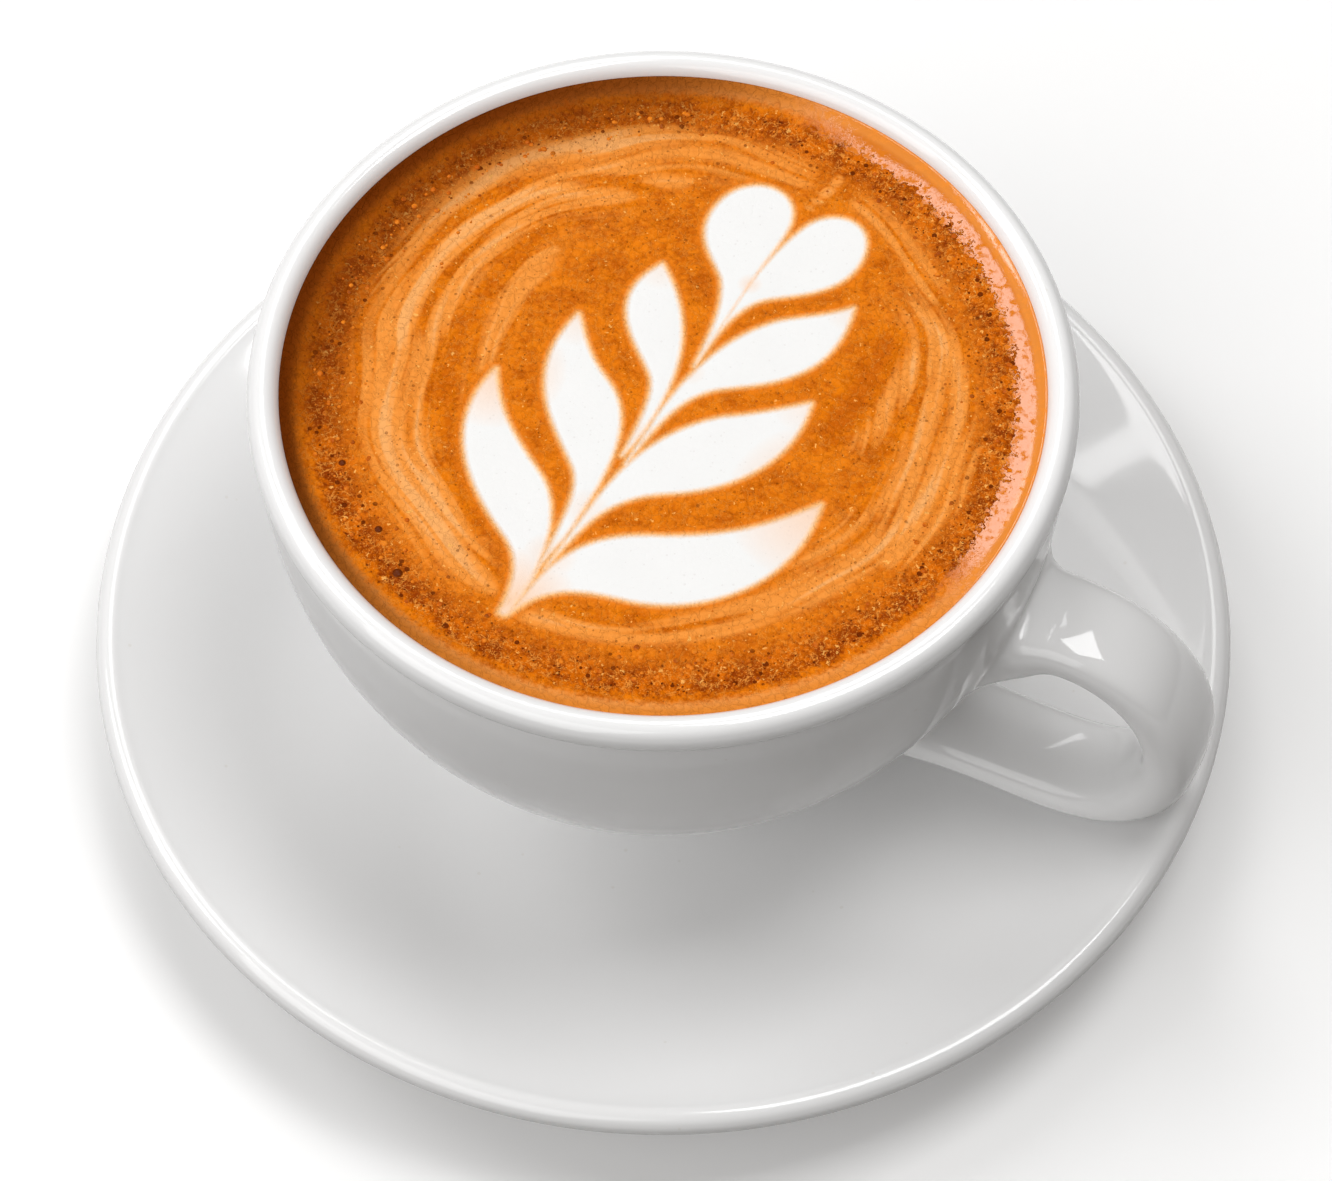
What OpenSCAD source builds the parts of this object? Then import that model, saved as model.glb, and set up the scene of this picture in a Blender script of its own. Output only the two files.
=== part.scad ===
// A latte served in a round-bellied cup on its saucer, in millimetres.
// The origin is on the table, at the centre of the saucer's foot.
// +Z is up, and the cup's handle points along +X.

/* [Saucer] */
// Diameter across the rolled rim
saucer_d = 154; // [150:1:164]
// Height of the rim above the table
saucer_h = 19; // [17:0.5:22]
// Height of the well floor that the cup stands on
well_z = 7; // [6:0.5:8]
// Radius of the flat well floor
well_r = 29; // [28:0.5:31]
// Radius of the soft bend where the gentle slope turns steeper
bend_r = 52; // [49:0.5:54]
// Height of that bend above the table
bend_z = 11; // [10:0.5:12]
// Radius of the round bead that ends the rim
saucer_bead_r = 2.1; // [1.8:0.1:2.4]
// Thickness of the saucer's wall
saucer_wall = 3.6; // [3.2:0.1:4]
// Outer radius of the saucer's foot ring
saucer_foot_r = 41; // [38:0.5:44]

/* [Cup] */
// Diameter across the rolled lip
cup_d = 105; // [103:0.5:107]
// Height of the cup from its foot to the lip
cup_h = 68.5; // [66:0.5:71]
// Thickness of the belly's wall
cup_wall = 4; // [3.8:0.1:4.2]
// Thickness of the floor
cup_floor = 4.5; // [4:0.1:5]
// Half width of the lip's bead
lip_rx = 2.15; // [2:0.05:2.3]
// Half height of the lip's bead
lip_rz = 2.4; // [2.2:0.1:2.6]
// Depth below the lip's top at which the belly starts to turn in
belly_drop = 8; // [7:0.5:9]
// Radius of the small flat at the middle of the inner floor
floor_r = 5.3; // [4:0.1:7]
// Outer radius of the foot ring
foot_r = 26; // [25:0.5:27]
// Height of the hollow inside the foot ring
foot_hollow = 3; // [2.5:0.1:3.4]

/* [Handle] */
// Half width of the strap along Y
strap_w = 6.6; // [6:0.1:7]
// Half thickness of the strap at its thinnest
strap_t = 2.9; // [2.6:0.1:3.2]
// Extra half thickness where the loop reaches furthest out
bow_t = 0.7; // [0:0.1:1]
// Extra half width where the strap runs into the cup's wall
root_w = 2.2; // [0:0.1:2.6]
// Extra half thickness where the strap runs into the cup's wall
root_t = 2; // [0:0.1:2.2]

/* [Drink] */
// Distance from the lip's top down to the drink
fill_drop = 1.7; // [1.5:0.1:2.2]

/* [Hidden] */
$fn = 96;

porcelain = [0.95, 0.95, 0.94];
crema = [0.78, 0.42, 0.15];

// Heights above the table
rim_z = well_z + cup_h;
belly_z = rim_z - belly_drop;
fill_z = rim_z - fill_drop;

// Middle of the lip's bead, the belly's outer radius below it, and the drop to the crease between them
lip_r = cup_d / 2 - lip_rx;
belly_r = cup_d / 2 - 0.7;
crease_gap = 1.5;

// Half axes of the ellipses that shape the belly; the outer one dips a little into the foot ring
foot_dip = 0.5;
outer_a = belly_r - floor_r;
outer_b = cup_h - belly_drop - foot_hollow + foot_dip;
inner_a = outer_a - cup_wall;
inner_b = cup_h - belly_drop - foot_hollow - cup_floor;

// Steps along each curved stretch
belly_steps = 28;
bead_steps = 14;
ring_steps = 56;
side_steps = 24;

// Points on an ellipse, from angle a0 to angle a1
function arc(cx, cz, rx, rz, a0, a1, n) =
    [for (i = [0:n]) let (a = a0 + (a1 - a0) * i / n) [cx + rx * cos(a), cz + rz * sin(a)]];

// Point of a cubic curve through p[0] and p[3], pulled by p[1] and p[2]
function cubic(p, t) =
    pow(1 - t, 3) * p[0] + 3 * t * pow(1 - t, 2) * p[1] + 3 * t * t * (1 - t) * p[2] + pow(t, 3) * p[3];
function cubic_slope(p, t) =
    3 * pow(1 - t, 2) * (p[1] - p[0]) + 6 * t * (1 - t) * (p[2] - p[1]) + 3 * t * t * (p[3] - p[2]);

// Height of a belly ellipse of half axes a and b at radius r
function belly_height(r, a, b) = belly_z - b * sqrt(1 - pow((r - floor_r) / a, 2));

// The inner wall from the drink's edge down to the middle of the floor
inner_wall = concat(
    arc(lip_r, rim_z - lip_rz, lip_rx, lip_rz, 180 - asin((lip_rz - fill_drop) / lip_rz), 180, 3),
    arc(floor_r, belly_z, inner_a, inner_b, 0, -90, belly_steps),
    [[0, belly_z - inner_b]]
);

// The ear-shaped loop's centre line in the XZ plane, as four cubic curves
crown = [57.5, rim_z - 22.7];
bow = [73.2, rim_z - 41];
heel = [59, rim_z - 56.8];
upper_root = [47.4, rim_z - 25.6];
lower_root = [31.7, rim_z - 52.6];
// A quarter of an ellipse needs pulls of this share of its half axes
quarter = 0.552;
loop = [
    [upper_root, upper_root + [4, 0.6], crown - [4.5, 0], crown],
    [crown, crown + [quarter * (bow.x - crown.x), 0], bow + [0, quarter * (crown.y - bow.y)], bow],
    [bow, bow - [0, quarter * (bow.y - heel.y)], heel + [quarter * (bow.x - heel.x), 0], heel],
    [heel, heel - [8, -0.2], lower_root + [7.4, -3.6], lower_root]
];

// How much of the root's flare is left at place s, from 0 at the upper root to 4 at the lower one
function flare(s) = pow(max(0, 1 - s / 0.9), 2) + pow(max(0, 1 - (4 - s) / 0.75), 2);
// How close place s is to the bow, from 0 to 1
function bowing(s) = pow(max(0, cos(45 * (s - 2))), 2);

// One ring of the strap: a soft-cornered section square to the centre line
function strap_ring(s) =
    let (
        k = min(3, floor(s)),
        c = cubic(loop[k], s - k),
        d = cubic_slope(loop[k], s - k),
        out = [-d.y, d.x] / norm(d),
        w = strap_w + root_w * flare(s),
        t = strap_t + bow_t * bowing(s) + root_t * flare(s)
    )
    [for (i = [0:side_steps - 1])
        let (
            a = 360 * i / side_steps,
            across = w * sign(cos(a)) * pow(abs(cos(a)), 0.8),
            through = t * sign(sin(a)) * pow(abs(sin(a)), 0.8)
        )
        [c.x + out.x * through, across, c.y + out.y * through]
    ];

module saucer_foot() {
    rotate_extrude()
        polygon(concat(
            [[saucer_foot_r - 5, well_z - saucer_wall + 0.5]],
            [[saucer_foot_r - 4, 0]],
            [[saucer_foot_r - 0.5, 0]],
            [[saucer_foot_r + 1.5, well_z - saucer_wall + 1.5]]
        ));
}

module saucer_dish() {
    bead_z = saucer_h - saucer_bead_r;
    bead_x = saucer_d / 2 - saucer_bead_r;
    top = concat(
        [[0, well_z], [well_r, well_z]],
        [for (t = [0.1:0.1:1]) cubic([[well_r, well_z], [well_r + 5, well_z], [bend_r - 9, bend_z - 2.6],
            [bend_r, bend_z]], t)],
        [for (t = [0.1:0.1:1]) cubic([[bend_r, bend_z], [bend_r + 4, bend_z + 1.2],
            [bead_x - 8, bead_z - 0.8], [bead_x - 1.2, saucer_h - 0.45]], t)]
    );
    bead = arc(bead_x, bead_z, saucer_bead_r, saucer_bead_r, 110, -75, bead_steps);
    underside = concat(
        [for (t = [0.1:0.1:1]) cubic([[bead_x + 0.5, bead_z - saucer_bead_r], [bead_x - 8, bead_z - 4.6],
            [bend_r + 5, bend_z - saucer_wall + 0.4], [saucer_foot_r + 2, well_z - saucer_wall + 1]], t)],
        [[saucer_foot_r - 5, well_z - saucer_wall], [0, well_z - saucer_wall]]
    );
    rotate_extrude()
        polygon(concat(top, bead, underside));
}

module saucer() {
    color(porcelain)
        union() {
            saucer_dish();
            saucer_foot();
        }
}

module cup_bowl() {
    crease_z = rim_z - lip_rz - crease_gap;
    foot_join = belly_height(foot_r - 0.6, outer_a, outer_b);
    outside = concat(
        arc(lip_r, rim_z - lip_rz, lip_rx, lip_rz, 180 - asin((lip_rz - fill_drop) / lip_rz), -36, bead_steps),
        [[belly_r + 0.05, crease_z]],
        arc(floor_r, belly_z, outer_a, outer_b, 0, -acos((foot_r - 0.6 - floor_r) / outer_a), belly_steps)
    );
    foot = [
        [foot_r, foot_join - 1],
        [foot_r, well_z + 0.6],
        [foot_r - 0.6, well_z],
        [foot_r - 3.6, well_z],
        [foot_r - 4.4, well_z + foot_hollow],
        [0, well_z + foot_hollow]
    ];
    inside = [for (i = [len(inner_wall) - 1:-1:1]) inner_wall[i]];
    rotate_extrude()
        polygon(concat(outside, foot, inside));
}

module handle() {
    rings = [for (i = [0:ring_steps]) strap_ring(4 * i / ring_steps)];
    points = [for (ring = rings) for (p = ring) p];
    sides = [for (i = [0:ring_steps - 1]) for (j = [0:side_steps - 1])
        let (k = (j + 1) % side_steps, a = i * side_steps, b = a + side_steps)
        [a + j, b + j, b + k, a + k]];
    start_cap = [for (j = [0:side_steps - 1]) j];
    end_cap = [for (j = [side_steps - 1:-1:0]) ring_steps * side_steps + j];
    polyhedron(points, concat([start_cap], sides, [end_cap]), convexity = 6);
}

module cup() {
    color(porcelain)
        union() {
            cup_bowl();
            handle();
        }
}

module latte() {
    color(crema)
        rotate_extrude()
            polygon(concat([[0, fill_z]], inner_wall));
}

saucer();
cup();
latte();
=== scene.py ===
import math

import bmesh
import bpy
import numpy as np
from mathutils import Matrix, Vector


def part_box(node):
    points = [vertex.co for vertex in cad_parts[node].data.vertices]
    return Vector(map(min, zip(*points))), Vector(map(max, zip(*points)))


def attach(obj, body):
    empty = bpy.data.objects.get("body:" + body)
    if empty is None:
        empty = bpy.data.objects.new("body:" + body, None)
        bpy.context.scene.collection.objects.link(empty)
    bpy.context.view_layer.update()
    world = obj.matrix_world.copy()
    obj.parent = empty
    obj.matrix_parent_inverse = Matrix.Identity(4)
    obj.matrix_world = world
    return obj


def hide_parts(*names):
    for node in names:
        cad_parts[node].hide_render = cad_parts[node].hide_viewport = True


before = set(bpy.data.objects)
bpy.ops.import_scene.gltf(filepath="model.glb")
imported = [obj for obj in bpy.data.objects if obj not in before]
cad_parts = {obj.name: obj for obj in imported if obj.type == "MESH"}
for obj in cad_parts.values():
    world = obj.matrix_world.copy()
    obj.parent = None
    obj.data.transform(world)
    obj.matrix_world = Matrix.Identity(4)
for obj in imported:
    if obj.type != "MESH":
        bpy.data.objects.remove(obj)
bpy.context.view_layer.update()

mm = 0.001

# ---------------------------------------------------------------------------
# The view: a drinker's eye looks down into the cup, a little round towards
# the handle, through a long lens. It aims just in front of the cup's lip.
# ---------------------------------------------------------------------------
rim_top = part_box("cup")[1][2]
eye_turn = math.radians(24)
eye_down = math.radians(58.6)
eye_distance = 602.7 * mm
aim_nearer = 23 * mm
aim_lower = 14 * mm
aim_right = 0.35 * mm

turned = Matrix.Rotation(eye_turn, 4, "Z")
aim = turned @ Vector((aim_right, -aim_nearer, 0)) + Vector((0, 0, rim_top - aim_lower))
sight = turned @ Vector((0, math.cos(eye_down), -math.sin(eye_down)))
bpy.ops.object.camera_add(
    location=aim - sight * eye_distance,
    rotation=(math.pi / 2 - eye_down, 0, eye_turn),
)
camera = bpy.context.object
camera.name = "camera"
camera.data.lens = 130
camera.data.sensor_width = 36
camera.data.clip_start = 0.01
bpy.context.scene.camera = camera


# ---------------------------------------------------------------------------
# The saucer: white porcelain, pressed on a turning mould, so all its walls
# are round. Its slope turns steeper at a soft bend, ends in a rolled rim, and
# stands on a foot ring whose bottom is wiped free of glaze before firing.
# ---------------------------------------------------------------------------
saucer_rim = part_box("saucer")[1][0]
saucer_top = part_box("saucer")[1][2]
well_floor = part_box("cup")[0][2]
well_edge = 29 * mm
bend_radius = 52 * mm
bend_height = 11 * mm
bead = 2.1 * mm
saucer_wall = 3.6 * mm
saucer_foot = 41 * mm
turning_steps = 64


def arc(centre, radii, start, end, steps):
    """Points along part of an ellipse, from one angle in degrees to another."""
    angles = np.radians(np.linspace(start, end, steps + 1))
    return [(centre[0] + radii[0] * math.cos(a), centre[1] + radii[1] * math.sin(a)) for a in angles]


def pulled(start, pull_start, pull_end, end, steps):
    """Points along a cubic curve, without its first point."""
    ends = [np.array(p) for p in (start, pull_start, pull_end, end)]
    points = []
    for t in np.linspace(0, 1, steps + 1)[1:]:
        weights = ((1 - t) ** 3, 3 * t * (1 - t) ** 2, 3 * t * t * (1 - t), t ** 3)
        points.append(tuple(sum(w * p for w, p in zip(weights, ends))))
    return points


def turn_on_wheel(name, outline):
    """Draws half of a pot's outline point by point, and spins it once round the pot's axis."""
    bpy.ops.object.select_all(action="DESELECT")
    bpy.ops.mesh.primitive_plane_add(size=0.001)
    pot = bpy.context.object
    pot.name = name
    pot.data.name = name
    bpy.ops.object.mode_set(mode="EDIT")
    bpy.ops.mesh.merge(type="CENTER")
    bpy.ops.transform.translate(value=(outline[0][0], 0, outline[0][1]))
    for here, there in zip(outline, outline[1:]):
        step = (there[0] - here[0], 0, there[1] - here[1])
        bpy.ops.mesh.extrude_region_move(TRANSFORM_OT_translate={"value": step})
    bpy.ops.mesh.select_all(action="SELECT")
    bpy.ops.mesh.spin(steps=turning_steps, angle=2 * math.pi, center=(0, 0, 0), axis=(0, 0, 1))
    bpy.ops.mesh.select_all(action="SELECT")
    bpy.ops.mesh.remove_doubles(threshold=0.01 * mm)
    bpy.ops.mesh.normals_make_consistent(inside=False)
    bpy.ops.object.mode_set(mode="OBJECT")
    return pot


def round_off(piece, levels):
    """Smooths a piece's cage with a Subdivision Surface and makes its shading smooth."""
    bpy.ops.object.select_all(action="DESELECT")
    piece.select_set(True)
    bpy.context.view_layer.objects.active = piece
    smoothing = piece.modifiers.new("smoothing", "SUBSURF")
    smoothing.levels = levels
    smoothing.render_levels = levels
    bpy.ops.object.modifier_apply(modifier="smoothing")
    bpy.ops.object.shade_smooth()


bead_middle = (saucer_rim - bead, saucer_top - bead)
saucer_outline = [(radius, well_floor) for radius in (0, 9 * mm, 18 * mm, well_edge - 3 * mm, well_edge)]
saucer_outline += pulled(
    (well_edge, well_floor), (well_edge + 5 * mm, well_floor),
    (bend_radius - 9 * mm, bend_height - 2.6 * mm), (bend_radius, bend_height), 7,
)
saucer_outline += pulled(
    (bend_radius, bend_height), (bend_radius + 4 * mm, bend_height + 1.2 * mm),
    (bead_middle[0] - 8 * mm, bead_middle[1] - 0.8 * mm),
    (bead_middle[0] - 1.2 * mm, saucer_top - 0.45 * mm), 8,
)
saucer_outline += arc(bead_middle, (bead, bead), 110, -75, 9)
saucer_outline += pulled(
    (bead_middle[0] + 0.5 * mm, bead_middle[1] - bead),
    (bead_middle[0] - 8 * mm, bead_middle[1] - 4.6 * mm),
    (bend_radius + 5 * mm, bend_height - saucer_wall + 0.4 * mm),
    (saucer_foot + 2 * mm, well_floor - saucer_wall + 1 * mm), 7,
)
saucer_outline += [
    (saucer_foot, 1.2 * mm), (saucer_foot - 0.3 * mm, 0.3 * mm), (saucer_foot - 1 * mm, 0),
    (saucer_foot - 3.4 * mm, 0), (saucer_foot - 4 * mm, 0.4 * mm), (saucer_foot - 4.6 * mm, 2.4 * mm),
    (saucer_foot - 6 * mm, well_floor - saucer_wall),
    (24 * mm, well_floor - saucer_wall), (12 * mm, well_floor - saucer_wall), (0, well_floor - saucer_wall),
]
saucer = turn_on_wheel("saucer_dish", saucer_outline)
round_off(saucer, 2)


def node(tree, kind, inputs=None, **settings):
    """Adds a shader node. An input is linked when it is given another node's socket, and else set."""
    made = tree.nodes.new("ShaderNode" + kind)
    for name, value in settings.items():
        setattr(made, name, value)
    for name, value in (inputs or {}).items():
        if isinstance(value, bpy.types.NodeSocket):
            tree.links.new(value, made.inputs[name])
        else:
            made.inputs[name].default_value = value
    return made


def noise(tree, place, scale, detail, roughness=0.5):
    """Cloudy noise between 0 and 1."""
    settings = {"Vector": place, "Scale": scale, "Detail": detail, "Roughness": roughness}
    return node(tree, "TexNoise", settings).outputs["Fac"]


def rise(tree, value, start, end):
    """0 up to start, 1 from end on, and an even rise between; start may be the larger."""
    return node(tree, "MapRange", {"Value": value, "From Min": start, "From Max": end}).outputs["Result"]


def blend(tree, share, first, second):
    """The first colour, and the second in its place as the share goes from 0 to 1."""
    return node(tree, "Mix", {"Factor": share, "A": first, "B": second}, data_type="RGBA").outputs["Result"]


def glaze(name, white, bare_below):
    """Clear glaze over white porcelain: it lies in faint waves, and is wiped off the foot."""
    material = bpy.data.materials.new(name)
    material.use_nodes = True
    tree = material.node_tree
    shader = tree.nodes["Principled BSDF"]
    place = node(tree, "TexCoord").outputs["Object"]

    # Broad, barely seen clouding of the body under the glaze
    clouding = noise(tree, place, 22, 3)
    body = blend(tree, clouding, (*[c * 0.975 for c in white], 1), (*white, 1))

    # Sparse pin specks of iron in the clay
    speck_gap = node(tree, "TexVoronoi", {"Vector": place, "Scale": 160}).outputs["Distance"]
    speck = rise(tree, speck_gap, 0.05, 0.03)
    speckled = blend(tree, speck, body, (white[0] * 0.93, white[1] * 0.92, white[2] * 0.9, 1))

    # The wiped foot shows bare, slightly warm clay
    height = node(tree, "SeparateXYZ", {"Vector": place}).outputs["Z"]
    bare = rise(tree, height, bare_below, bare_below - 0.15 * mm)
    tree.links.new(blend(tree, bare, speckled, (0.72, 0.68, 0.61, 1)), shader.inputs["Base Color"])
    rough = node(tree, "MapRange", {"Value": bare, "To Min": 0.06, "To Max": 0.75}).outputs["Result"]
    tree.links.new(rough, shader.inputs["Roughness"])

    # Glaze waves
    waves = noise(tree, place, 60, 1)
    ripple = node(tree, "Bump", {"Height": waves, "Strength": 0.12, "Distance": 0.4 * mm})
    tree.links.new(ripple.outputs["Normal"], shader.inputs["Normal"])
    shader.inputs["IOR"].default_value = 1.5
    shader.inputs["Specular IOR Level"].default_value = 0.55
    return material


saucer.data.materials.append(glaze("saucer_glaze", (0.9, 0.9, 0.9), 0.3 * mm))
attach(saucer, "root")
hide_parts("saucer")


# ---------------------------------------------------------------------------
# The cup: thrown porcelain with a rolled lip, a belly that rounds in to a
# foot ring, and a strap handle pulled out of the wall and bent down to it
# again, its roots smoothed into the wall with wet clay, then glazed as one.
# ---------------------------------------------------------------------------
lip_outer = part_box("cup")[0][0] * -1
cup_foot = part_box("cup")[0][2]
lip_half_width = 2.15 * mm
lip_half_height = 2.4 * mm
belly_outer = lip_outer - 0.7 * mm
belly_starts = rim_top - 8 * mm
floor_flat = 5.3 * mm
cup_wall = 4 * mm
foot_radius = 26 * mm
outer_across = belly_outer - floor_flat
outer_down = 58 * mm
inner_down = 53 * mm
lip_middle = (lip_outer - lip_half_width, rim_top - lip_half_height)


def belly_radius(height):
    """The belly's outer radius at a height, on the ellipse that shapes it."""
    drop = min(max((belly_starts - height) / outer_down, 0), 1)
    return floor_flat + outer_across * math.sqrt(1 - drop * drop)


# The belly's rings in mm below the lip's top, with two rows of faces where each handle root goes
belly_rings = [5.2, 8, 13, 18.8, 25, 31.2, 38, 44.2, 49.8, 53.4, 56.8]
upper_patch = (18.8 * mm, 31.2 * mm)
lower_patch = (49.8 * mm, 56.8 * mm)

cup_outline = [(0, rim_top - 61 * mm)]
cup_outline += arc((floor_flat, belly_starts), (outer_across - cup_wall, inner_down), -88, 0, 14)
cup_outline += arc(lip_middle, (lip_half_width, lip_half_height), 180, -48, 10)
cup_outline += [(belly_outer - 0.15 * mm, rim_top - 4.35 * mm)]
cup_outline += [(belly_radius(rim_top - drop * mm), rim_top - drop * mm) for drop in belly_rings]
cup_outline += [
    (foot_radius + 1.2 * mm, cup_foot + 9.3 * mm), (foot_radius + 0.1 * mm, cup_foot + 7.4 * mm),
    (foot_radius, cup_foot + 4 * mm), (foot_radius, cup_foot + 1 * mm),
    (foot_radius - 0.4 * mm, cup_foot + 0.2 * mm), (foot_radius - 1.2 * mm, cup_foot),
    (foot_radius - 3 * mm, cup_foot), (foot_radius - 3.8 * mm, cup_foot + 0.4 * mm),
    (foot_radius - 4.6 * mm, cup_foot + 3 * mm),
    (14 * mm, cup_foot + 3 * mm), (0, cup_foot + 3 * mm),
]
cup = turn_on_wheel("cup_with_handle", cup_outline)

# The handle's centre line, as cubic curves in the plane through the cup's axis
crown = (57.5 * mm, rim_top - 22.7 * mm)
bow = (73.2 * mm, rim_top - 41 * mm)
heel = (59 * mm, rim_top - 56.8 * mm)
upper_root = (49.7 * mm, rim_top - 25.4 * mm)
lower_root = (34.2 * mm, rim_top - 54.2 * mm)
# A quarter of an ellipse needs pulls of this share of its half axes
quarter = 0.552
strap_half_width = 6.7 * mm
strap_half_thickness = 2.95 * mm
upper_root_wider = 2.2 * mm
upper_root_thicker = 2.4 * mm
lower_root_wider = 2.4 * mm
lower_root_thicker = 1.4 * mm
bow_thicker = 0.75 * mm
# The share of the strap's length along which each root flares out
root_share = 0.2
patch_columns = 2


def shifted(point, x, z):
    return (point[0] + x, point[1] + z)


strap_path = [upper_root]
strap_path += pulled(
    upper_root, shifted(upper_root, 3 * mm, 0.8 * mm), shifted(crown, -3.4 * mm, 0), crown, 3)
strap_path += pulled(
    crown, shifted(crown, quarter * (bow[0] - crown[0]), 0),
    shifted(bow, 0, quarter * (crown[1] - bow[1])), bow, 5)
strap_path += pulled(
    bow, shifted(bow, 0, -quarter * (bow[1] - heel[1])),
    shifted(heel, quarter * (bow[0] - heel[0]), 0), heel, 4)
strap_path += pulled(
    heel, shifted(heel, -8 * mm, 0.2 * mm), shifted(lower_root, 6 * mm, -2.4 * mm), lower_root, 6)


def wall_patch(mesh, from_drop, to_drop):
    """The faces of the outer wall between two depths below the lip, on the handle's side."""
    reach = (patch_columns + 0.2) * 2 * math.pi / turning_steps
    chosen = []
    for face in mesh.faces:
        middle = face.calc_center_median()
        radius = math.hypot(middle.x, middle.y)
        depth = rim_top - middle.z
        outside = radius > belly_radius(middle.z) - 1.5 * mm
        if outside and abs(math.atan2(middle.y, middle.x)) < reach and from_drop < depth < to_drop:
            chosen.append(face)
    return chosen


def seats_in(patch):
    """Column and row of each corner of a patch, counted from its middle."""
    corners = {v for face in patch for v in face.verts}
    heights = sorted({round(v.co.z, 5) for v in corners})
    turns = sorted({round(math.atan2(v.co.y, v.co.x), 4) for v in corners})
    seats = {}
    for v in corners:
        turn = math.atan2(v.co.y, v.co.x)
        column = min(range(len(turns)), key=lambda i: abs(turns[i] - turn)) - patch_columns
        row = min(range(len(heights)), key=lambda i: abs(heights[i] - v.co.z)) - 1
        seats[v] = (column, row)
    return seats


# Columns of wall faces spread wider low down, where the lower root needs the room
widens_from = 36 * mm
widens_over = 13 * mm
widest = 0.42
shape = bmesh.new()
shape.from_mesh(cup.data)
for vertex in shape.verts:
    depth = rim_top - vertex.co.z
    angle = math.atan2(vertex.co.y, vertex.co.x)
    low = min(max((depth - widens_from) / widens_over, 0), 1)
    widening = widest * low * low * (3 - 2 * low)
    near = max(0, math.cos(angle)) ** 2
    if vertex.co.x > 0 and 0 < low:
        radius = math.hypot(vertex.co.x, vertex.co.y)
        widened = angle * (1 + widening * near)
        vertex.co.x = radius * math.cos(widened)
        vertex.co.y = radius * math.sin(widened)
shape.to_mesh(cup.data)
shape.free()

# Where each column of the patch goes in the strap's section, in shares of half width and half thickness
across_by_column = [-0.93, -0.5, 0, 0.5, 0.93]
through_by_column = [0.80, 1.0, 1.05, 1.0, 0.80]
edge_bulge = 1.06


def section_place(column, row):
    """Across and through shares of one corner of the strap's cage, whose middle row bulges at both edges."""
    across = across_by_column[column + patch_columns]
    if row == 0 and abs(column) == patch_columns:
        across = math.copysign(edge_bulge, column)
    return across, row * through_by_column[column + patch_columns]


def seat_number(column, row):
    """One whole number for a seat, which a corner keeps while it is drawn out."""
    return 10 * (column + patch_columns) + row + 1


def seat_of(number):
    """The column and row that a seat's number stands for."""
    return number // 10 - patch_columns, number % 10 - 1


bpy.ops.object.select_all(action="DESELECT")
cup.select_set(True)
bpy.context.view_layer.objects.active = cup
bpy.ops.object.mode_set(mode="EDIT")
bpy.ops.mesh.select_mode(type="FACE")
bpy.ops.mesh.select_all(action="DESELECT")

# The wall is opened where the strap comes back to it
shape = bmesh.from_edit_mesh(cup.data)
shape.verts.layers.int.new("seat")
opened = wall_patch(shape, *lower_patch)
landing = {(column, -row): v.co.copy() for v, (column, row) in seats_in(opened).items()}
for face in opened:
    face.select = True
bmesh.update_edit_mesh(cup.data)
bpy.ops.mesh.delete(type="FACE")

shape = bmesh.from_edit_mesh(cup.data)
mark = shape.verts.layers.int["seat"]
patch = wall_patch(shape, *upper_patch)
for face in patch:
    face.select = True
for v, seat in seats_in(patch).items():
    v[mark] = seat_number(*seat)
bmesh.update_edit_mesh(cup.data)

# The strap is drawn out of the wall ring by ring, and its last ring lands on the opening's border
for place in range(1, len(strap_path)):
    bpy.ops.mesh.extrude_region_move(TRANSFORM_OT_translate={"value": (0, 0, 0)})
    shape = bmesh.from_edit_mesh(cup.data)
    mark = shape.verts.layers.int["seat"]
    before = Vector(strap_path[place - 1])
    here = Vector(strap_path[place])
    after = Vector(strap_path[min(place + 1, len(strap_path) - 1)])
    along = (after - before).normalized()
    out = Vector((-along.y, along.x))
    share = place / (len(strap_path) - 1)
    upper_flare = max(0, 1 - share / root_share) ** 2
    lower_flare = max(0, 1 - (1 - share) / root_share) ** 2
    bowing = max(0, math.cos(math.pi * (share - 0.5))) ** 3
    width = strap_half_width + upper_root_wider * upper_flare + lower_root_wider * lower_flare
    thickness = strap_half_thickness + bow_thicker * bowing
    thickness += upper_root_thicker * upper_flare + lower_root_thicker * lower_flare
    for v in shape.verts:
        if v.select:
            column, row = seat_of(v[mark])
            if place == len(strap_path) - 1:
                v.co = landing[column, row]
                continue
            across, through = section_place(column, row)
            lift = through * thickness
            v.co = (here.x + out.x * lift, across * width, here.y + out.y * lift)
    bmesh.update_edit_mesh(cup.data)

# The strap's end now lies on the border of the opening: its end skin goes, and the corners are joined
bpy.ops.mesh.delete(type="FACE")
bpy.ops.mesh.select_all(action="SELECT")
bpy.ops.mesh.remove_doubles(threshold=0.02 * mm)
bpy.ops.mesh.select_all(action="SELECT")
bpy.ops.mesh.normals_make_consistent(inside=False)
bpy.ops.object.mode_set(mode="OBJECT")
round_off(cup, 2)
cup.data.materials.append(glaze("cup_glaze", (0.91, 0.91, 0.91), cup_foot + 0.3 * mm))
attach(cup, "root")
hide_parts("cup")


# ---------------------------------------------------------------------------
# The latte: espresso crema with steamed milk poured into it as a leaf under a
# heart. It fills the cup and climbs the wall a little. Its foam is dotted with
# pinholes, and wet along the wall from the handle round to the cup's back.
# ---------------------------------------------------------------------------
wall_inside = 48.3 * mm
contact_height = rim_top - 1.6 * mm
climb = 1.35 * mm
climb_reach = 2.9 * mm
calm_height = contact_height - climb
milk_raised = 0.06 * mm
surface_squares = 300
swells = 9
swell_height = 0.012 * mm
# How far the poured shapes lie from the cup's axis, in mm
pour_off_centre = (-0.3, 0.7)

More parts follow.
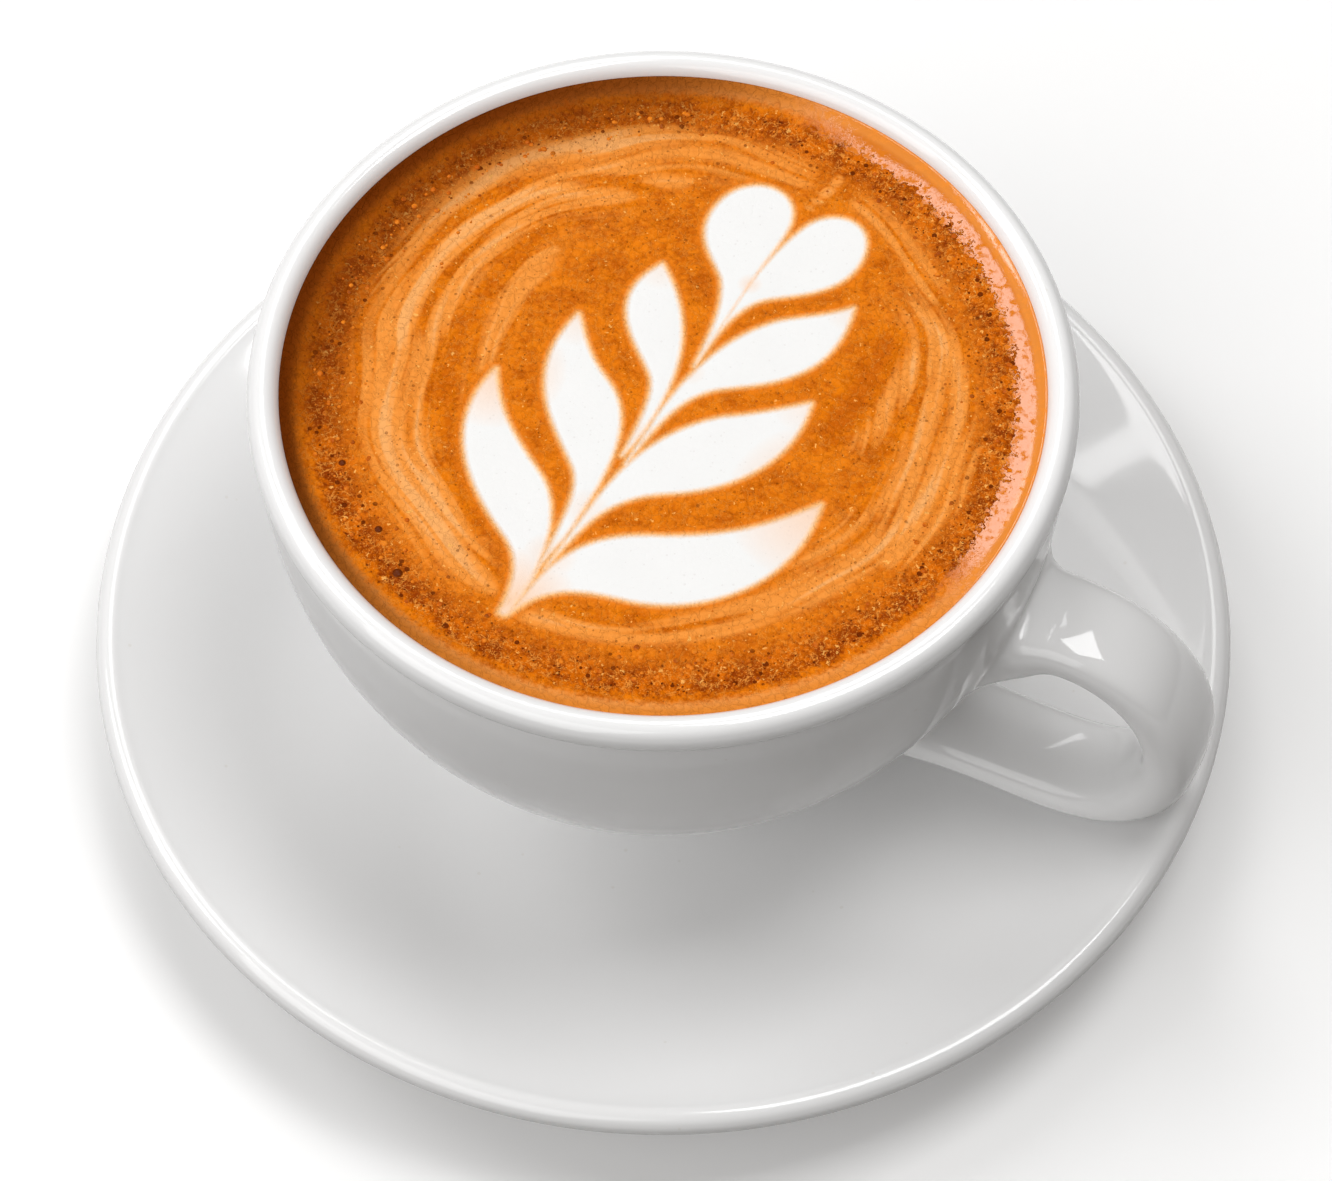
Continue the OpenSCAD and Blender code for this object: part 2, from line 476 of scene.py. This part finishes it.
# The poured shapes in mm, as a start point and then pull, pull, end for each curve
poured = {
    "left_leaf_top": [
        (0.6, -8), (1.9, 4), (-1, 11), (-7.6, 16.8), (-13, 8.5), (-5, 4), (-2, 0.5),
        (-0.4, -1.6), (-0.2, -6), (-0.3, -12)],
    "left_leaf_middle": [
        (-1.9, -26), (-0.6, -14), (-0.8, -6), (-7, -2.2), (-11.5, 0.8), (-12.5, 3.5), (-14.2, 5.4),
        (-17.5, -6), (-9.5, -11.5), (-5.2, -16), (-3, -18.5), (-2.9, -23), (-3.1, -31)],
    "left_leaf_low": [
        (-3.2, -34), (-3, -29), (-4, -21.5), (-9, -18.3), (-15, -14), (-17.5, -12), (-20.2, -6.5),
        (-23.5, -18), (-14, -25), (-9, -28.4), (-5.5, -30.6), (-4.7, -34), (-4.6, -39)],
    "stem_foot": [
        (-3.0, -30.5), (-3.5, -33), (-4.2, -36), (-4.7, -38.6), (-4.3, -39.2), (-3.9, -39.2),
        (-3.5, -38.6), (-3.1, -36), (-2.9, -34), (-3.0, -30.5)],
    "right_leaf_top": [
        (1.3, -4), (2.4, 4), (5, 10.5), (9.5, 14.6), (12, 16.5), (14.5, 17.5), (17.4, 20.4),
        (19.5, 9), (12, 5.5), (7, 2.3), (2.8, -0.5), (1.8, -5), (0.6, -13)],
    "right_leaf_middle": [
        (-1.0, -22), (0.2, -12), (3, -6), (9, -1.6), (12.5, 0.5), (14.5, 2), (18.2, 4.8),
        (19.8, -6), (12.5, -12), (7, -14.8), (0.8, -18), (-0.6, -22.5), (-2.2, -31)],
    "right_leaf_low": [
        (-2.8, -35), (-1.6, -27), (2.5, -23.5), (8, -21.2), (15, -18.5), (20, -15), (25.2, -8.5),
        (27, -22), (17, -29.8), (8.5, -31), (2, -32), (-1, -33), (-3.6, -38.8)],
    "heart_left_half": [
        (2.5, 4), (2.4, 9), (2.4, 14), (0.2, 17.8), (-2, 20.5), (-5.3, 22), (-5.1, 27),
        (-4.5, 35), (4.8, 35.5), (4.9, 28.5), (4.9, 25.5), (4.2, 22.5), (3.9, 18.8)],
    "heart_right_half": [
        (2.5, 4), (2.9, 8.5), (3.2, 13), (5.8, 16.3), (8.5, 19.2), (15.6, 21), (15.4, 28),
        (15.2, 33.5), (10, 34), (7.4, 30.4), (6.2, 28.6), (4.7, 24), (3.9, 18.8)],
}

# Where milk was drawn out thin and lets the crema show through: place and reach in mm, amount
thin_milk = [
    ((25.2, -8.5), 12, 0.85), ((-20.2, -6.5), 9, 0.85), ((18.2, 4.8), 5, 0.35), ((-14.2, 5.4), 5, 0.4),
    ((17.4, 20.4), 4, 0.3), ((-7.6, 16.8), 4, 0.35), ((-3.8, -37), 8, 0.95), ((-2.4, -29), 3.5, 0.45),
    ((-1.2, -21), 3, 0.3), ((0.8, -8), 2.4, 0.3), ((2.4, 3), 2, 0.3), ((3.9, 18.4), 1.6, 0.5),
]

# Streaks swept round the cup by the pour: curve in mm, half width in mm, paler (+) or darker (-)
swept = [
    ([(-12, 28), (-24, 26), (-30.5, 14), (-31, 0), (-30, -14), (-21, -28), (-7, -37)], 5.5, 0.25),
    ([(18, 26), (30, 22), (34, 8), (33.5, -3), (32, -14), (24, -27), (2, -37)], 4.5, 0.2),
    ([(-26, 29), (-16, 33), (-7, 35.5), (6, 37)], 2.6, 0.45),
    ([(-18, 31), (-28, 27), (-33, 18), (-35, 8)], 4.0, 0.22),
    ([(26, 19), (31, 13), (34, 4), (33, -6)], 3.2, 0.22),
    ([(-14.5, 24.2), (-24, 24), (-31.5, 18), (-34, 8), (-35, 2), (-34.5, -3), (-32.5, -9)], 1.1, 1.0),
    ([(-25, 19.5), (-30, 12), (-31.5, -2), (-28.5, -12), (-25.5, -22), (-16, -31), (-5.5, -37)], 1.1, 0.95),
    ([(-2, 36.5), (-14, 37), (-28, 31), (-34, 19.5), (-38, 11), (-38, 2), (-36.5, -6),
      (-34, -17), (-24, -29), (-8, -36.8)], 1.7, 0.7),
    ([(-21, 14), (-23, 8), (-23.5, 0), (-21.5, -8)], 1.3, 0.45),
    ([(-9, 29.6), (-18, 30), (-27, 25), (-31, 18)], 1.3, 0.6),
    ([(-12, 27), (-22, 27.5), (-31, 22), (-34.8, 12), (-36.2, 5), (-36, 0), (-35, -6)], 0.9, -0.7),
    ([(-25, 21.5), (-30.5, 15), (-33.5, 3), (-31.5, -7)], 0.6, -0.6),
    ([(-22, 18), (-26, 12), (-28, 0), (-25.5, -10), (-23, -17), (-17, -24), (-11, -30)], 1.0, -0.6),
    ([(23, 22.8), (29, 23.5), (33, 18), (35.5, 12), (38.5, 4), (37, -7), (33, -13.5),
      (28, -24), (18, -34), (6, -36.6), (1, -37.3), (-1, -38), (-3.5, -38.5)], 1.0, 1.0),
    ([(31, 13), (33, 6), (33.5, -2), (31, -8), (28, -17), (24, -28), (8, -33.8)], 0.8, 0.6),
    ([(27.3, 18), (27.5, 12), (27, 6), (25.8, 0)], 1.0, 0.6),
    ([(40.5, 8), (41, 0), (39, -8), (36, -14)], 1.0, 0.4),
    ([(23, 20), (24, 14), (23.5, 8), (21.5, 0)], 1.5, -0.7),
    ([(30, 16), (30, 8), (30, 0), (28, -8)], 0.8, -0.5),
    ([(1, -35.3), (9, -36), (18, -33), (25, -25)], 0.7, -0.6),
    ([(10, 36), (17, 35), (23, 31), (27, 25)], 1.5, 0.35),
    ([(5.8, 31.5), (6.6, 34), (7.6, 36), (8, 39)], 0.5, 0.7),
]


def chain(points, steps=24):
    """A line through cubic curves that follow one another."""
    line = [points[0]]
    for at in range(0, len(points) - 3, 3):
        line += pulled(*points[at:at + 4], steps)
    return np.array(line)


def apart(places, line):
    """Distance from each place to a line, and how far along the line its nearest point is (0 to 1)."""
    nearest = np.full(len(places), 1e9)
    along = np.zeros(len(places))
    for at, (start, end) in enumerate(zip(line, line[1:])):
        leg = end - start
        share = np.clip((places - start) @ leg / (leg @ leg), 0, 1)
        gap = np.hypot(*(places - start - share[:, None] * leg).T)
        closer = gap < nearest
        nearest[closer] = gap[closer]
        along[closer] = (at + share[closer]) / (len(line) - 1)
    return nearest, along


def within(places, outline):
    """Whether each place lies inside a closed outline."""
    inside = np.zeros(len(places), bool)
    for (x0, y0), (x1, y1) in zip(outline, np.roll(outline, -1, axis=0)):
        if y0 != y1:
            crossing = (places[:, 1] > y0) != (places[:, 1] > y1)
            reach = x0 + (places[:, 1] - y0) * (x1 - x0) / (y1 - y0)
            inside ^= crossing & (places[:, 0] < reach)
    return inside


# A fine square sheet, its square rings rounded into circles, so that the cup's wall cuts no square
bpy.ops.object.select_all(action="DESELECT")
bpy.ops.mesh.primitive_grid_add(x_subdivisions=surface_squares, y_subdivisions=surface_squares, size=2)
latte = bpy.context.object
latte.name = "latte_surface"
latte.data.name = "latte_surface"
count = len(latte.data.vertices)
sheet = np.empty(count * 3)
latte.data.vertices.foreach_get("co", sheet)
sheet = sheet.reshape(-1, 3)
ring_size = np.abs(sheet[:, :2]).max(axis=1)
length = np.maximum(np.hypot(sheet[:, 0], sheet[:, 1]), 1e-9)
rounder = sheet[:, :2] * (ring_size / length)[:, None]
flat = rounder * wall_inside
places = flat / mm
poured_places = places - pour_off_centre

milk = np.full(count, -1e9)
for outline in poured.values():
    line = chain(outline)
    near = np.abs(poured_places - line.mean(axis=0)).max(axis=1) < np.ptp(line, axis=0).max() / 2 + 9
    gap, _ = apart(poured_places[near], np.vstack([line, line[:1]]))
    signed = np.where(within(poured_places[near], line), gap, -gap)
    milk[near] = np.maximum(milk[near], signed)
milk = np.clip(milk, -6, 6)

streak = np.zeros(count)
for curve, half_width, paler in swept:
    gap, along = apart(poured_places, chain(curve, 16))
    taper = np.clip(np.minimum(along, 1 - along) * 6, 0, 1) ** 0.7
    streak += paler * taper * np.exp(-(gap / half_width) ** 2 / 1.4)

thinness = np.zeros(count)
for middle, reach, amount in thin_milk:
    gap = np.hypot(*(poured_places - middle).T)
    thinness = np.maximum(thinness, amount * np.clip(1 - gap / reach, 0, 1) ** 0.8)

for name, values in (("milk", milk), ("streak", streak), ("thinness", thinness)):
    layer = latte.data.attributes.new(name, "FLOAT", "POINT")
    layer.data.foreach_set("value", values.astype(np.float32))

from_centre = np.hypot(*flat.T)
surface = calm_height + climb * np.exp((from_centre - wall_inside) / climb_reach)
surface += milk_raised * np.clip(milk / 1.2 + 0.2, 0, 1) * (from_centre < 44 * mm)
# Faint swells of the surface, in headings and wave lengths drawn by chance
chance = np.random.default_rng(7)
for _ in range(swells):
    heading = chance.uniform(0, 2 * math.pi)
    wave = chance.uniform(5, 14)
    phase = chance.uniform(0, 2 * math.pi)
    forward = places @ (math.cos(heading), math.sin(heading))
    swell = np.sin(forward * 2 * math.pi / wave + phase)
    surface += swell_height * swell * np.clip((46 * mm - from_centre) / (4 * mm), 0, 1)
latte.data.vertices.foreach_set("co", np.column_stack([flat, surface]).astype(np.float32).ravel())

# The drink below the surface, drawn down the wall to these depths in mm and closed on the cup's floor
bpy.ops.object.mode_set(mode="EDIT")
bpy.ops.mesh.select_mode(type="EDGE")
bpy.ops.mesh.select_all(action="DESELECT")
bpy.ops.mesh.select_non_manifold(extend=False)
body_top = contact_height
body_radius = wall_inside
for drop in (8, 20, 34, 46, 54, 59):
    height = rim_top - drop * mm
    down = min((belly_starts - height) / inner_down, 1)
    radius = floor_flat + (outer_across - cup_wall) * math.sqrt(max(0, 1 - max(0, down) ** 2)) - 0.02 * mm
    bpy.ops.mesh.extrude_edges_move(TRANSFORM_OT_translate={"value": (0, 0, height - body_top)})
    bpy.ops.transform.resize(value=(radius / body_radius, radius / body_radius, 1), center_override=(0, 0, 0))
    body_top, body_radius = height, radius
bpy.ops.mesh.edge_face_add()
bpy.ops.mesh.select_all(action="SELECT")
bpy.ops.mesh.normals_make_consistent(inside=False)
bpy.ops.object.mode_set(mode="OBJECT")
bpy.ops.object.shade_smooth()


def paint(red, green, blue):
    """A colour named by its 0 to 255 strengths, as the light it sends back."""
    shares = [strength / 255 for strength in (red, green, blue)]
    return (*[((c + 0.055) / 1.055) ** 2.4 if c > 0.04 else c / 12.92 for c in shares], 1)


def calc(tree, operation, first, second):
    """One sum done on two values."""
    return node(tree, "Math", {0: first, 1: second}, operation=operation).outputs["Value"]


def plus(tree, first, second):
    """Two values added."""
    return calc(tree, "ADD", first, second)


def minus(tree, first, second):
    """The second value taken from the first."""
    return calc(tree, "SUBTRACT", first, second)


def times(tree, first, second):
    """Two values multiplied."""
    return calc(tree, "MULTIPLY", first, second)


def spread(tree, value, start, end):
    """0 up to start, 1 from end on, and a soft rise between; start may be the larger."""
    return node(tree, "MapRange", {"Value": value, "From Min": start, "From Max": end},
                interpolation_type="SMOOTHSTEP").outputs["Result"]


def place_in_mm(tree):
    """The place on the piece, in millimetres."""
    place = node(tree, "TexCoord").outputs["Object"]
    return node(tree, "VectorMath", {"Vector": place, "Scale": 1000.0}, operation="SCALE").outputs["Vector"]


def out_towards(tree, place, direction):
    """How far a place lies from the axis in one direction."""
    return node(tree, "VectorMath", {0: place, 1: direction}, operation="DOT_PRODUCT").outputs["Value"]


def cell_border(tree, place, scale):
    """How far a place is from the border of its foam cell."""
    cells = node(tree, "TexVoronoi", {"Vector": place, "Scale": scale}, feature="DISTANCE_TO_EDGE")
    return cells.outputs["Distance"]


def round_spots(tree, place, scale, channel, rareness, largest, start, end):
    """One round spot in each cell, most of them tiny: 1 inside a spot and 0 outside."""
    spots = node(tree, "TexVoronoi", {"Vector": place, "Scale": scale})
    size = node(tree, "SeparateColor", {"Color": spots.outputs["Color"]}).outputs[channel]
    reach = times(tree, calc(tree, "POWER", size, rareness), largest)
    return spread(tree, minus(tree, spots.outputs["Distance"], reach), start, end)


foam = bpy.data.materials.new("milk_and_crema")
foam.use_nodes = True
tree = foam.node_tree
shader = tree.nodes["Principled BSDF"]
in_mm = place_in_mm(tree)
parts = node(tree, "SeparateXYZ", {"Vector": in_mm})
level = node(tree, "CombineXYZ", {"X": parts.outputs["X"], "Y": parts.outputs["Y"]}).outputs["Vector"]
radius_mm = node(tree, "VectorMath", {"Vector": level}, operation="LENGTH").outputs["Value"]
milk_depth = node(tree, "Attribute", attribute_name="milk").outputs["Fac"]
streaks = node(tree, "Attribute", attribute_name="streak").outputs["Fac"]
thin = node(tree, "Attribute", attribute_name="thinness").outputs["Fac"]

# Noise of three sizes, and the place pushed about by it so that no border runs clean
clouds = noise(tree, in_mm, 0.22, 4.0, 0.62)
dust = noise(tree, in_mm, 4.5, 2.0)
graining = node(tree, "TexNoise", {"Vector": in_mm, "Scale": 1.3, "Detail": 3.0, "Roughness": 0.6})
grain = graining.outputs["Fac"]
push = node(tree, "VectorMath", {"Vector": graining.outputs["Color"], "Scale": 1.6}, operation="SCALE")
ragged = node(tree, "VectorMath", {0: in_mm, 1: push.outputs["Vector"]}, operation="ADD").outputs["Vector"]
ragged_radius = plus(tree, radius_mm, times(tree, grain, 2.0))

# Crema: mottled from deep brown to orange
mottling = plus(tree, times(tree, clouds, 0.6), times(tree, grain, 0.4))
crema = blend(tree, spread(tree, mottling, 0.36, 0.62), paint(192, 90, 2), paint(233, 124, 8))

# The bubbly ring near the wall: small cells with paler edges over a deeper brown
ring_inside = spread(tree, plus(tree, radius_mm, times(tree, clouds, 9.0)), 43.0, 46.5)
ring = times(tree, ring_inside, spread(tree, ragged_radius, 46.6, 45.2))
cells = cell_border(tree, ragged, 0.7)
fine_cells = cell_border(tree, ragged, 1.5)
patches = noise(tree, in_mm, 0.55, 1.0)
cell_walls = times(tree, spread(tree, cells, 0.075, 0.03), spread(tree, patches, 0.46, 0.54))
fine_walls = times(tree, spread(tree, fine_cells, 0.13, 0.04), spread(tree, dust, 0.48, 0.6))
ringed = blend(tree, spread(tree, mottling, 0.42, 0.60), paint(144, 56, 1), paint(216, 106, 3))
crema = blend(tree, ring, crema, ringed)

# Swept streaks: tan where the milk was folded in, brown beside them, combed into fine lines round the cup
bearing = node(tree, "VectorMath", {"Vector": level}, operation="NORMALIZE").outputs["Vector"]
bearing = node(tree, "SeparateXYZ", {"Vector": bearing})
drifting = plus(tree, radius_mm, times(tree, noise(tree, in_mm, 0.07, 0.0), 5.0))
swirl = node(tree, "CombineXYZ", {"X": drifting, "Y": bearing.outputs["X"], "Z": bearing.outputs["Y"]})
combing = minus(tree, noise(tree, swirl.outputs["Vector"], 0.85, 1.5), 0.5)
combed = times(tree, combing, spread(tree, streaks, 0.04, 0.24))
wavering = plus(tree, streaks, times(tree, minus(tree, grain, 0.5), 0.3))
wavering = plus(tree, wavering, times(tree, combed, 3.4))
inner = spread(tree, radius_mm, 44.5, 40.0)
tan = times(tree, spread(tree, wavering, -0.1, 0.8), inner)
crema = blend(tree, tan, crema, paint(243, 150, 62))
pale = times(tree, spread(tree, wavering, 0.8, 1.5), inner)
crema = blend(tree, times(tree, pale, 0.75), crema, paint(247, 178, 108))
shade = times(tree, spread(tree, wavering, 0.0, -0.7), inner)
crema = blend(tree, times(tree, shade, 0.75), crema, paint(196, 92, 6))

# Fine pale walls between the foam's cells, in the ring and where the crema is calm
calm = spread(tree, wavering, 0.7, 0.2)
lined = calc(tree, "MAXIMUM", cell_walls, times(tree, fine_walls, 0.8))
lined = times(tree, lined, calc(tree, "MAXIMUM", times(tree, calm, 0.45), ring))
crema = blend(tree, times(tree, lined, 0.65), crema, paint(250, 160, 66))

# The wet arc along the wall from the handle round to the back, its inner edge broken into fingers
tipped = spread(tree, out_towards(tree, in_mm, (0.81, 0.59, 0)), 24.0, 35.0)
fingers = noise(tree, ragged, 0.8, 2.0, 0.7)
wet_reach = plus(tree, radius_mm, times(tree, minus(tree, fingers, 0.5), 7.0))
wet = times(tree, spread(tree, wet_reach, 44.2, 44.5), tipped)
open_foam = minus(tree, 1.0, wet)

# Pinholes and pits in the crema, and pale specks painted as glints on the foam
hole = round_spots(tree, in_mm, 0.9, "Red", 2.5, plus(tree, 0.2, times(tree, ring, 0.15)), 0.03, -0.01)
pit = round_spots(tree, in_mm, 1.7, "Green", 2.6, 0.27, 0.01, -0.03)
# Painted glints: small pale specks over the open foam
painted_glint = round_spots(tree, ragged, 1.1, "Blue", 2.6, 0.26, 0.01, -0.03)
pitted = times(tree, calc(tree, "MAXIMUM", hole, pit), plus(tree, 0.45, times(tree, ring, 0.5)))
crema = blend(tree, pitted, crema, paint(108, 40, 2))
crema = blend(tree, times(tree, times(tree, painted_glint, open_foam), 0.8), crema, paint(255, 186, 96))

# The film along the wall: tan on the handle's side, with painted shade making it brown across from it and
# darkest against the porcelain
across = spread(tree, parts.outputs["X"], -44.0, 10.0)
film = blend(tree, across, paint(150, 78, 16), paint(238, 154, 78))
# Painted shade: the film's outer edge is darkest brown across from the handle
film_edge_with_painted_shade = blend(tree, across, paint(100, 42, 2), paint(230, 138, 52))
film = blend(tree, spread(tree, radius_mm, 46.0, 47.6), film, film_edge_with_painted_shade)
crema = blend(tree, spread(tree, ragged_radius, 46.4, 48.0), crema, film)

# Painted shade: a deeper brown on the outer foam across from the handle. Orange where the wet arc shines,
# partly its own colour and partly painted reflection
# Painted shade on the side of the foam across from the handle
painted_shade_side = spread(tree, out_towards(tree, in_mm, (-0.9, 0.35, 0)), 16.0, 36.0)
painted_shade_side = times(tree, painted_shade_side, spread(tree, radius_mm, 36.0, 45.0))
crema = blend(tree, times(tree, painted_shade_side, 0.7), crema, paint(112, 48, 2))
# The wet arc lightened to orange: partly its own colour, partly painted reflection beside its real gloss
wet_arc_painted_sheen = times(tree, wet, spread(tree, radius_mm, 47.4, 46.4))
crema = blend(tree, wet_arc_painted_sheen, crema, paint(217, 120, 30))

# A calm, strongly orange border lies round all the milk
border = times(tree, spread(tree, milk_depth, -1.9, -0.6), 0.75)
crema = blend(tree, border, crema, paint(234, 125, 24))

# Milk: white, tinted where it is thin, with a soft edge
edge = plus(tree, milk_depth, times(tree, minus(tree, dust, 0.5), 0.35))
white = blend(tree, thin, paint(241, 241, 240), paint(248, 206, 172))
white = blend(tree, times(tree, pit, 0.1), white, paint(150, 130, 120))
creamy = blend(tree, spread(tree, edge, -0.95, 0.0), crema, paint(252, 190, 116))
covered = spread(tree, edge, -0.45, 0.5)
tree.links.new(blend(tree, covered, creamy, white), shader.inputs["Base Color"])

# Dull foam, and a gloss on the wet arc that the fingers break up
roughness = minus(tree, 0.52, times(tree, wet, 0.44))
tree.links.new(roughness, shader.inputs["Roughness"])
broken = times(tree, wet, spread(tree, fingers, 0.66, 0.48))
sheen = plus(tree, 0.02, times(tree, broken, 0.95))
tree.links.new(sheen, shader.inputs["Specular IOR Level"])
shader.inputs["IOR"].default_value = 1.5

# Lumps of foam, sunk at the pits, nearly flat under the milk and flat where it is wet
cell_tops = times(tree, spread(tree, cells, 0, 0.1), 0.3)
lumps = plus(tree, times(tree, grain, 0.7), plus(tree, times(tree, dust, 0.25), cell_tops))
lumps = minus(tree, lumps, times(tree, pitted, 0.6))
bare_foam = minus(tree, 1.0, times(tree, covered, 0.85))
lumps = times(tree, lumps, times(tree, bare_foam, plus(tree, open_foam, 0.03)))
relief = node(tree, "Bump", {"Height": lumps, "Strength": 1.0, "Distance": 0.2 * mm})
tree.links.new(relief.outputs["Normal"], shader.inputs["Normal"])

latte.data.materials.append(foam)
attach(latte, "root")
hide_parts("latte")


# ---------------------------------------------------------------------------
# Bubbles: little domes of coffee film left by the steaming, most of them in
# the brown ring near the wall, a few large ones open like dark windows.
# ---------------------------------------------------------------------------
bubble_count = 900
bpy.ops.object.select_all(action="DESELECT")
bpy.ops.mesh.primitive_ico_sphere_add(subdivisions=2, radius=1)
bubbles = bpy.context.object
bubbles.name = "bubbles"
bubbles.data.name = "bubbles"
bpy.ops.object.mode_set(mode="EDIT")
bpy.ops.mesh.select_all(action="SELECT")
bpy.ops.mesh.bisect(plane_co=(0, 0, -0.05), plane_no=(0, 0, 1), clear_inner=True, use_fill=True)
bpy.ops.object.mode_set(mode="OBJECT")
dome = bmesh.new()
dome.from_mesh(bubbles.data)
bmesh.ops.triangulate(dome, faces=dome.faces[:])
dome_points = np.array([v.co[:] for v in dome.verts])
dome_faces = np.array([[v.index for v in face.verts] for face in dome.faces])
dome.free()

# The largest bubbles are listed, as place and radius in mm, and the rest are strewn by chance
bubble_places = [((-18.7, -38.3), 0.72), ((-32, -26.5), 0.5), ((-29.8, -29.6), 0.42), ((-23.6, -33.5), 0.55),
                 ((39.5, 17), 0.4), ((-22, -35), 0.45), ((-26.5, -33), 0.38), ((-34.5, -24), 0.36)]
chance = np.random.default_rng(31)
while len(bubble_places) < bubble_count:
    angle = chance.uniform(0, 2 * math.pi)
    if chance.random() < 0.7:
        distance = chance.normal(41.5, 1.9)
        if distance > 44.8:
            continue
        radius = 0.1 + 0.32 * chance.random() ** 3
    else:
        distance = 41 * math.sqrt(chance.random())
        radius = 0.07 + 0.12 * chance.random() ** 2
    spot = np.array([distance * math.cos(angle), distance * math.sin(angle)])
    nearest = np.argmin(np.hypot(*(places - spot).T))
    if milk[nearest] > -1.3:
        continue
    bubble_places.append((tuple(spot), radius))

points = []
darkness = []
for (x, y), radius in bubble_places:
    nearest = np.argmin(np.hypot(*(places - (x, y)).T))
    size = radius * mm
    window = 0.85 if radius > 0.45 else 0.5 * chance.random() ** 2
    darkness.append(window * np.clip(dome_points[:, 2] * 1.6, 0, 1))
    points.append(dome_points * (size, size, size * 0.4) + (x * mm, y * mm, surface[nearest] - 0.01 * mm))
faces = [dome_faces + number * len(dome_points) for number in range(len(points))]
bubbles.data.clear_geometry()
bubbles.data.from_pydata(np.vstack(points).tolist(), [], np.vstack(faces).tolist())
layer = bubbles.data.attributes.new("darkness", "FLOAT", "POINT")
layer.data.foreach_set("value", np.concatenate(darkness).astype(np.float32))
bpy.ops.object.shade_smooth()

film_skin = bpy.data.materials.new("bubble_film")
film_skin.use_nodes = True
tree = film_skin.node_tree
shader = tree.nodes["Principled BSDF"]
tone = noise(tree, place_in_mm(tree), 0.8, 2.0)
skin_colour = blend(tree, spread(tree, tone, 0.35, 0.65), paint(190, 88, 6), paint(230, 130, 28))
see_in = node(tree, "Attribute", attribute_name="darkness").outputs["Fac"]
skin_colour = blend(tree, spread(tree, see_in, 0.1, 0.8), skin_colour, paint(100, 40, 4))
tree.links.new(skin_colour, shader.inputs["Base Color"])
shader.inputs["Roughness"].default_value = 0.3
shader.inputs["Specular IOR Level"].default_value = 0.08
bubbles.data.materials.append(film_skin)
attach(bubbles, "root")


# ---------------------------------------------------------------------------
# The table: a plain pale top that glows a little, in a dim warm room. Three
# softboxes and a large weak fill light the cup, the brightest from the left
# and from above; the one behind the cup shines in the wet film.
# ---------------------------------------------------------------------------
bpy.ops.object.select_all(action="DESELECT")
bpy.ops.mesh.primitive_plane_add(size=4, location=(0, 0, -0.2 * mm))
table = bpy.context.object
table.name = "table"
table_top = bpy.data.materials.new("table_top")
table_top.use_nodes = True
shader = table_top.node_tree.nodes["Principled BSDF"]
shader.inputs["Base Color"].default_value = (0.9, 0.9, 0.9, 1)
shader.inputs["Roughness"].default_value = 0.8
shader.inputs["Emission Color"].default_value = (1, 1, 1, 1)
shader.inputs["Emission Strength"].default_value = 0.15
table.data.materials.append(table_top)
table.visible_diffuse = False

room = bpy.data.worlds.new("room")
room.use_nodes = True
room.node_tree.nodes["Background"].inputs["Color"].default_value = (1, 0.92, 0.84, 1)
room.node_tree.nodes["Background"].inputs["Strength"].default_value = 0.1
bpy.context.scene.world = room
bpy.context.scene.view_settings.view_transform = "Standard"


def softbox(name, towards, distance, size, brightness):
    """A soft lamp that faces the cup, in a direction as seen by the drinker."""
    where = turned @ (Vector(towards).normalized() * distance)
    facing = (Vector((0, 0, 0.06)) - where).to_track_quat("-Z", "Y").to_euler()
    bpy.ops.object.light_add(type="AREA", location=where, rotation=facing)
    lamp = bpy.context.object
    lamp.name = name
    lamp.data.shape = "RECTANGLE"
    lamp.data.size, lamp.data.size_y = size
    lamp.data.energy = brightness * math.pi * size[0] * size[1]


softbox("back_softbox", (-0.14, 0.56, 0.81), 1.5, (0.54, 0.75), 3.6)
softbox("left_softbox", (-0.62, 0.2, 0.75), 1.6, (0.65, 0.65), 5.2)
softbox("high_softbox", (0.24, 0.08, 0.97), 1.4, (0.55, 0.55), 7.4)
softbox("front_left_fill", (-0.5, -0.55, 0.67), 1.6, (1.5, 1.3), 1.9)
